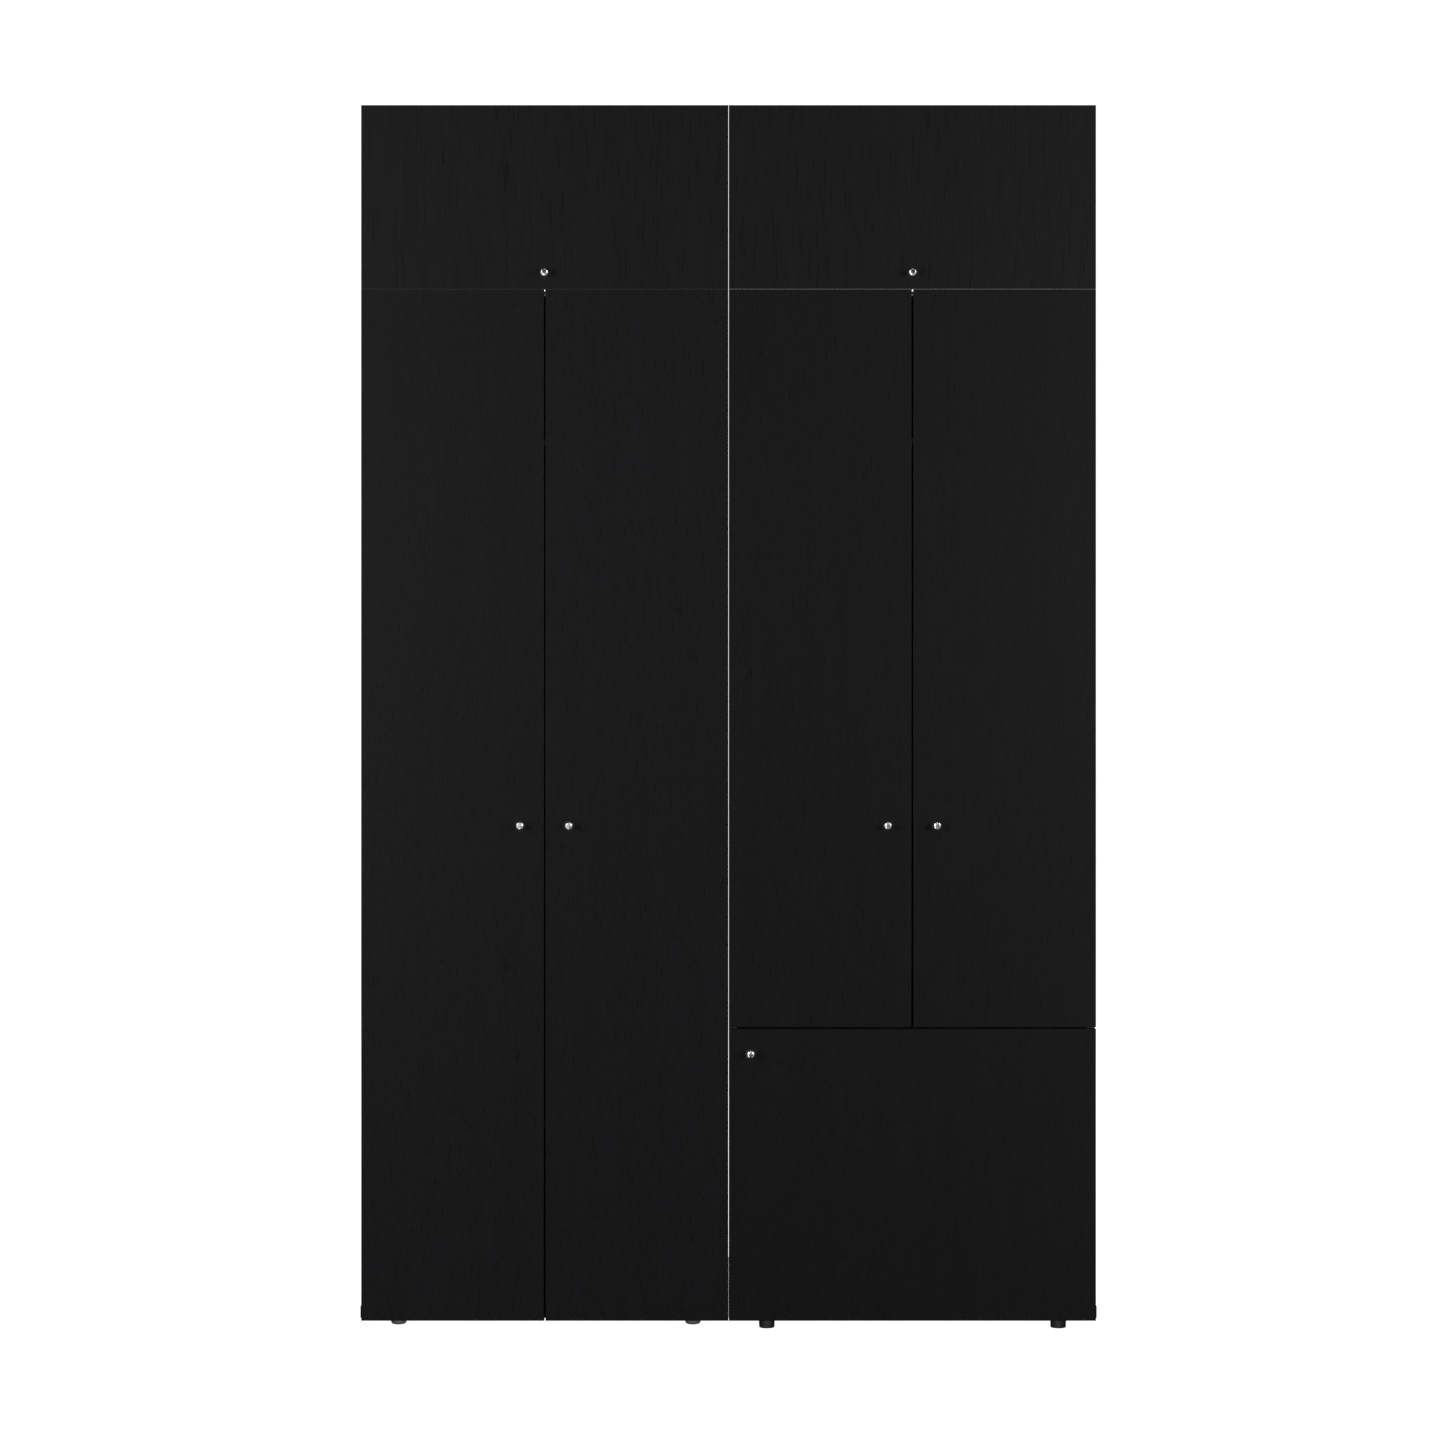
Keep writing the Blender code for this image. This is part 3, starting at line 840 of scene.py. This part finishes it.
def strut(side):
    """The tube and the rod with the sockets on their ends; it gives back the two stud points."""
    anchor = Vector(joints[f"{side}_strut_pivot"]["pos_m"])
    forward = Vector(joints[f"{side}_strut_slide"]["axis"])
    rod_low, rod_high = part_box(f"{side}_flap_strut_rod")
    tube_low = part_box(f"{side}_flap_strut_tube")[0]
    tube_length = (anchor.y - tube_low.y) / -forward.y - 1 * MM
    socket_end = 5 * MM
    stud = anchor + forward * ((anchor.y - rod_low.y) / -forward.y - socket_end)
    rod_length = (rod_high.y - stud.y) / -forward.y
    lay = Vector((0, 0, 1)).rotation_difference(forward).to_matrix().to_4x4()
    tube_radius, rod_radius = 7.5 * MM, 3.0 * MM
    socket = turned_mesh(
        [
            (0, -5 * MM),
            *fillet(3.6 * MM, -4 * MM, 1 * MM, -pi / 2, pi / 2),
            (4.6 * MM, 4 * MM),
            (3.6 * MM, 9 * MM),
            (3.6 * MM, 13 * MM),
            (0, 13 * MM),
        ],
        32,
    )
    tube = turned_mesh(
        [
            (0, 12 * MM),
            *fillet(tube_radius - 2 * MM, 14 * MM, 2 * MM, -pi / 2, pi / 2),
            *fillet(tube_radius - 1 * MM, tube_length - 1 * MM, 1 * MM, 0, pi / 2),
            (rod_radius + 0.4 * MM, tube_length),
            (rod_radius + 0.4 * MM, tube_length - 3 * MM),
            (0, tube_length - 3 * MM),
        ]
    )
    tube_piece = gathered(f"{side}_tube", (tube, STILL, 0), (socket, STILL, 1))
    show(
        f"{side}_strut_tube_piece",
        tube_piece,
        (TUBE_PAINT, SOCKET_PLASTIC),
        f"{side}_strut_tube",
        "strut_tube_paint",
        Matrix.Translation(anchor) @ lay,
        (f"{side}_flap_strut_tube",),
    )
    inner_end, outer_end = -rod_length, -8 * MM
    rod = turned_mesh(
        [(0, inner_end), (rod_radius, inner_end), (rod_radius, outer_end), (0, outer_end)], 32
    )
    rod_piece = gathered(f"{side}_rod", (rod, STILL, 0), (socket, Matrix.Rotation(pi, 4, "X"), 1))
    show(
        f"{side}_strut_rod_piece",
        rod_piece,
        (ROD_CHROME, SOCKET_PLASTIC),
        f"{side}_strut_rod",
        "strut_rod_steel",
        Matrix.Translation(stud) @ lay,
        (f"{side}_flap_strut_rod",),
    )
    return anchor, stud


def stud_on_plate(reach):
    """A stud that stands off a small screwed plate at x = 0, and ends 2 mm short of x = reach."""
    plate = box_mesh((0, -9 * MM, -20 * MM), (1.8 * MM, 9 * MM, 20 * MM), 0.8 * MM)
    post = turned_mesh(
        [
            (0, 1 * MM),
            (3.2 * MM, 1 * MM),
            (3.2 * MM, 3 * MM),
            (2 * MM, 3.4 * MM),
            (2 * MM, reach - 3 * MM),
            (0, reach - 2 * MM),
        ],
        24,
    )
    screws = [shape for z in (-14, 14) for shape in screw(at(1.8 * MM, 0, z * MM) @ INWARD)]
    return [(plate, STILL, 0), (post, INWARD, 1), *screws]


for side in ("left", "right"):
    anchor, stud = strut(side)
    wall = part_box(f"{side}_cabinet_left_side")[1].x
    reach = anchor.x - wall
    side_plate = gathered(f"{side}_side_plate", *stud_on_plate(reach))
    place = at(wall + 0.3 * MM, anchor.y, anchor.z)
    show(f"{side}_strut_side_plate", side_plate, HINGE_FINISHES, "root", "hinge_nickel", place)
    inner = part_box(f"{side}_flap")[1].y
    corner = (5 * MM, 0.2 * MM, -9 * MM)
    foot = box_mesh(corner, (40 * MM, 2 * MM, 9 * MM), 0.8 * MM)
    ear = box_mesh(corner, (6.8 * MM, stud.y - inner + 5 * MM, 9 * MM), 0.8 * MM)
    pin = turned_mesh([(0, 0), (2 * MM, 0), (2 * MM, 5.4 * MM), (0, 5.4 * MM)], 24)
    pin_place = at(0.4 * MM, stud.y - inner, 0) @ INWARD
    screws = [shape for x in (17, 32) for shape in screw(at(x * MM, 2 * MM, 0) @ BACKWARD)]
    bracket = gathered(
        f"{side}_bracket", (foot, STILL, 0), (ear, STILL, 0), (pin, pin_place, 1), *screws
    )
    place = at(stud.x, inner, stud.z)
    show(
        f"{side}_strut_flap_bracket", bracket, HINGE_FINISHES, f"{side}_flap", "hinge_nickel", place
    )
    print(f"{side} strut: {(stud - anchor).length / MM:.1f} mm between studs when shut")

# %% [markdown]
# ## Hanging rails
# The rail is an oval chromed tube. It stays as the frame has it, and die-cast sockets hold it on the
# two sides. A socket is an oval cup with the rail's outline, drawn as a stadium: two half circles
# joined by straight runs.

# %% Rail sockets
def stadium(width, height, steps=12):
    """Points of an upright oval with round ends, in the YZ plane."""
    top = fillet(0, (height - width) / 2, width / 2, 0, pi, steps)
    return top + [(-y, -z) for y, z in top]


def oval_cup(inner, outer, depth):
    """A short oval tube along X with walls between two (width, height) outlines."""
    bm = bmesh.new()
    loops = [
        [bm.verts.new((x, y, z)) for y, z in stadium(*size)]
        for size, x in ((inner, 0), (inner, depth), (outer, depth), (outer, 0))
    ]
    for loop, after in zip(loops, loops[1:] + loops[:1]):
        for step, vert in enumerate(loop):
            other = (step + 1) % len(loop)
            bm.faces.new((vert, loop[other], after[other], after[step]))
    bmesh.ops.recalc_face_normals(bm, faces=bm.faces)
    at_rim = {vert for vert in bm.verts if abs(vert.co.x - depth) < 1e-6}
    rim = [edge for edge in bm.edges if at_rim.issuperset(edge.verts)]
    bmesh.ops.bevel(bm, geom=rim, offset=0.5 * MM, segments=2, profile=0.5, affect="EDGES")
    return mesh_of(bm, "oval_cup")


for side in ("left", "right"):
    rail = frame["nodes"][f"{side}_hanging_rail"]
    rail.data.materials.clear()
    rail.data.materials.append(RAIL_CHROME)
    small_metal.objects.link(rail)
    low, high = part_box(rail.name)
    width, height = high.y - low.y, high.z - low.z
    inner, outer = ((width + more, height + more) for more in (0.6 * MM, 6 * MM))
    cup = oval_cup(inner, outer, 14 * MM)
    near, screw_out, far = (height / 2 + out * MM for out in (2, 11, 16))
    ear_down = box_mesh((0, -6 * MM, -far), (2 * MM, 6 * MM, -near), 0.8 * MM)
    ear_up = box_mesh((0, -6 * MM, near), (2 * MM, 6 * MM, far), 0.8 * MM)
    places = (at(2 * MM, 0, z) @ INWARD for z in (-screw_out, screw_out))
    screws = [shape for place in places for shape in screw(place)]
    plain = [(shape, STILL, 0) for shape in (cup, ear_down, ear_up)]
    socket = gathered(f"{side}_socket", *plain, *screws)
    middle = (low + high) / 2
    for end, x, turn in (("left", low.x, 0), ("right", high.x, pi)):
        place = at(x, middle.y, middle.z) @ Matrix.Rotation(turn, 4, "Z")
        show(f"{side}_rail_{end}_socket", socket, HINGE_FINISHES, "root", "rail_chrome", place)
    print(f"{side} rail: {(high.x - low.x) / MM:.0f} mm long")

# %% [markdown]
# ## Feet
# Both columns stand on moulded feet that screw up and down for levelling. The right column's are
# black and tapered, with a ribbed collar to turn them by. The left column's are dark grey glides with
# a rounded rim. The ribs are an array of small bars set round the collar by a loop.

# %% Feet
BLACK_FOOT = moulded_plastic("black_foot_plastic", "1A1A1B", 0.55)
GREY_FOOT = moulded_plastic("grey_foot_plastic", "5E5E60", 0.62)
FOOT_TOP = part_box("right_front_left_foot")[1].z


def tapered_foot():
    body = turned_mesh(
        [
            (0, 0.4 * MM),
            (14.4 * MM, 0.4 * MM),
            (14.4 * MM, 0),
            *fillet(15.2 * MM, 1.0 * MM, 1.0 * MM, -pi / 2, pi / 2),
            (16.9 * MM, 18 * MM),
            *fillet(16.9 * MM, 19.4 * MM, 0.7 * MM, -pi / 2, pi / 2, 2),
            *fillet(16.9 * MM, FOOT_TOP - 2.2 * MM, 0.7 * MM, 0, pi / 2, 2),
            (12 * MM, FOOT_TOP - 1.5 * MM),
            (12 * MM, FOOT_TOP),
            (0, FOOT_TOP),
        ]
    )
    low, high = (16.9 * MM, -0.7 * MM, 19.4 * MM), (17.9 * MM, 0.7 * MM, FOOT_TOP - 2.4 * MM)
    rib = box_mesh(low, high, 0.3 * MM, 1)
    count = 30
    ribs = [(rib, Matrix.Rotation(2 * pi * step / count, 4, "Z"), 0) for step in range(count)]
    return gathered("tapered_foot", (body, STILL, 0), *ribs)


def domed_foot():
    body = turned_mesh(
        [
            (0, 0),
            *fillet(11.0 * MM, 5.5 * MM, 5.5 * MM, -pi / 2, pi / 2, 8),
            *fillet(15.5 * MM, 13 * MM, 1.0 * MM, 0, pi / 2, 3),
            (12 * MM, 15 * MM),
            (12 * MM, 20 * MM),
            (14 * MM, 20.5 * MM),
            (14 * MM, FOOT_TOP),
            (0, FOOT_TOP),
        ]
    )
    return gathered("domed_foot", (body, STILL, 0))


KINDS = (("left", domed_foot(), GREY_FOOT), ("right", tapered_foot(), BLACK_FOOT))
for side, mesh, finish in KINDS:
    for row in ("front", "back"):
        for end in ("left", "right"):
            name = f"{side}_{row}_{end}_foot"
            low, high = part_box(name)
            place = at((low.x + high.x) / 2, (low.y + high.y) / 2, 0)
            slot = f"{side}_foot_plastic"
            foot = show(f"{name}_piece", mesh, (finish,), "root", slot, place, (name,))
            feet.objects.link(foot)
print("feet", round(FOOT_TOP / MM, 1), "mm high")

# %% [markdown]
# ## Door buffers and bumpers
# A buffer sits at the top of each split. Its pad is black, and its narrow white nylon nose stands
# between the two doors and keeps them apart. Small clear bumpers on the doors' free corners fill the
# gap to the carcass, and soften the closing.

# %% Buffers and bumpers
def clear_bumper():
    """Soft clear polyurethane, cast as a dome."""
    made, _, shader = new_finish("clear_polyurethane", Roughness=0.2, IOR=1.49)
    shader.inputs["Base Color"].default_value = linear("E8E8E4")
    shader.inputs["Transmission Weight"].default_value = 0.7
    return made


WHITE_NYLON = moulded_plastic("white_nylon", "F2F2F0", 0.45)
BUMPER_CLEAR = clear_bumper()
dome = turned_mesh(
    [
        (0, 0),
        (3 * MM, 0),
        (3 * MM, 0.8 * MM),
        *fillet(1.9 * MM, 0.6 * MM, 1.1 * MM, 0.3, 1.27),
        (0, 1.7 * MM),
    ],
    24,
)
bumper = gathered("bumper", (dome, STILL, 0))
for side in ("left", "right"):
    left_door, right_door = (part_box(f"{side}_column_{hand}_door") for hand in ("left", "right"))
    middle = (left_door[1].x + right_door[0].x) / 2
    split = right_door[0].x - left_door[1].x
    top, inner = left_door[1].z, left_door[1].y
    half = split / 2 - 0.4 * MM
    low, high = (-half, FRONT + 0.6 * MM, top - 4.4 * MM), (half, inner + 1 * MM, top - 0.2 * MM)
    nose = box_mesh(low, high, 0.3 * MM)
    half = 9 * MM
    low, high = (-half, inner + 0.3 * MM, top - 12 * MM), (half, inner + 1.7 * MM, top - 2 * MM)
    pad = box_mesh(low, high, 0.5 * MM)
    buffer = gathered(f"{side}_buffer", (nose, STILL, 0), (pad, STILL, 1))
    finishes = (WHITE_NYLON, SOCKET_PLASTIC)
    piece = show(f"{side}_door_buffer", buffer, finishes, "root", "carcass_board", at(middle, 0, 0))
    white_buffers.objects.link(piece)

for door, (hinge, _, _) in DOORS.items():
    low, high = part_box(door)
    if hinge == "top":
        spots = [(low.x + 9 * MM, low.z + 9 * MM), (high.x - 9 * MM, low.z + 9 * MM)]
    else:
        x = high.x - 12 * MM if hinge == "left" else low.x + 12 * MM
        spots = [(x, high.z - 9 * MM), (x, low.z + (17 * MM if low.z < 0.1 else 3.6 * MM))]
        if hinge == "right" and door.endswith("low_door"):
            spots[0] = (x, high.z - 3.6 * MM)
    for step, (x, z) in enumerate(spots):
        place = at(x, high.y, z) @ BACKWARD
        show(f"{door}_bumper_{step + 1}", bumper, (BUMPER_CLEAR,), door, "carcass_board", place)
print("buffers and bumpers placed")

# %% [markdown]
# ## Seam highlights
# A grey plastic strip lies in the seam between each top cabinet and the carcass under it. Its
# flange is glued on the front edges of the boards, and its thin web stands forward between the
# doors and the flap. Its grey is a painted highlight: the fine lighter line that the edges of the
# seam catch from the light above. The right one's painted highlight is lighter.

# %% Seam highlights
# Painted highlight: the grey of each strip stands for the light that the seam's edges catch.
SEAM_HIGHLIGHT_STRIPS = {"left": ("dark_grey_painted_seam_highlight", "5A5A5C"), "right": ("grey_painted_seam_highlight", "A0A0A2")}
for side, (name, colour) in SEAM_HIGHLIGHT_STRIPS.items():
    flap_low, flap_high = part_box(f"{side}_flap")
    door_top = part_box(f"{side}_column_left_door")[1].z
    inset = 0.4 * MM
    web_low = (flap_low.x + inset, FRONT + 0.2 * MM, door_top + 0.15 * MM)
    web_high = (flap_high.x - inset, flap_high.y + 1.6 * MM, flap_low.z - 0.15 * MM)
    flange_low = (flap_low.x + inset, flap_high.y + 0.5 * MM, door_top - 1.5 * MM)
    flange_high = (flap_high.x - inset, flap_high.y + 1.7 * MM, flap_low.z + 4 * MM)
    web, flange = box_mesh(web_low, web_high), box_mesh(flange_low, flange_high, 0.3 * MM)
    trim = gathered(f"{side}_trim", (web, STILL, 0), (flange, STILL, 0))
    show(f"{side}_seam_painted_highlight_strip", trim, (moulded_plastic(name, colour),), "root", "carcass_board")
print("painted seam highlights placed")

# %% [markdown]
# ## Back panels
# The backs are thin hardboard, pressed wood fibre with a lacquered black face, nailed to the
# carcass. Fibre board has no grain direction, only a fine fleck. The nails run round each panel at
# an even spacing, worked out from its size.

# %% Hardboard backs
def hardboard():
    made, tree, shader = new_finish("lacquered_hardboard", Roughness=0.55, IOR=1.5)
    place = add_node(tree, "ShaderNodeTexCoord").outputs["Object"]
    fleck = add_node(
        tree,
        "ShaderNodeTexNoise",
        {"Scale": 1 / (3 * MM), "Detail": 6.0, "Roughness": 0.7},
        {"Vector": place},
    ).outputs["Fac"]
    tone = add_node(
        tree,
        "ShaderNodeMixRGB",
        {"Color1": linear("151516"), "Color2": linear("232324")},
        {"Fac": fleck},
    )
    tree.links.new(tone.outputs["Color"], shader.inputs["Base Color"])
    normal = add_node(
        tree, "ShaderNodeBump", {"Strength": 0.25, "Distance": 0.05 * MM}, {"Height": fleck}
    )
    tree.links.new(normal.outputs["Normal"], shader.inputs["Normal"])
    return made


HARDBOARD = hardboard()
NAIL_STEEL = turned_steel("blued_nail", "5A5A5C", 0.4)
nail = turned_mesh([(0, 0), (2.4 * MM, 0), (2.2 * MM, 0.4 * MM), (0, 0.7 * MM)], 12)


def spaced(first, last, pitch):
    count = max(1, round((last - first) / pitch))
    return [first + (last - first) * step / count for step in range(count + 1)]


for name in [name for name in frame["nodes"] if name.endswith("back_panel")]:
    panel = frame["nodes"][name]
    panel.data.materials.clear()
    panel.data.materials.append(HARDBOARD)
    low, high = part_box(name)
    edge, pitch = 8.5 * MM, 120 * MM
    xs = spaced(low.x + edge, high.x - edge, pitch)
    zs = spaced(low.z + edge, high.z - edge, pitch)
    spots = [(x, z) for x in xs for z in (zs[0], zs[-1])]
    spots += [(x, z) for z in zs[1:-1] for x in (xs[0], xs[-1])]
    nails = gathered(f"{name}_nails", *((nail, at(x, high.y, z) @ BACKWARD, 0) for x, z in spots))
    show(f"{name}_nails", nails, (NAIL_STEEL,), "root", "back_hardboard")
    print(name, len(spots), "nails")

# %% [markdown]
# ## Joining plates
# Two flat steel plates at the back of each column tie the top cabinet to the carcass under it. They
# lie across the joint, screwed through the back panels into the sides.

# %% Joining plates
for side in ("left", "right"):
    low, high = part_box(f"{side}_carcass_back_panel")
    plate = box_mesh((-9 * MM, 0, -45 * MM), (9 * MM, 1.5 * MM, 45 * MM), 0.6 * MM)
    places = (at(0, 1.5 * MM, z * MM) @ BACKWARD for z in (-36, -16, 16, 36))
    screws = [shape for place in places for shape in screw(place, 0.9)]
    mesh = gathered(f"{side}_joining_plate", (plate, STILL, 0), *screws)
    for end, x in (("left", low.x + 20 * MM), ("right", high.x - 20 * MM)):
        name, place = f"{side}_{end}_joining_plate", at(x, high.y, high.z)
        show(name, mesh, HINGE_FINISHES, "root", "hinge_nickel", place)
print("joining plates placed")
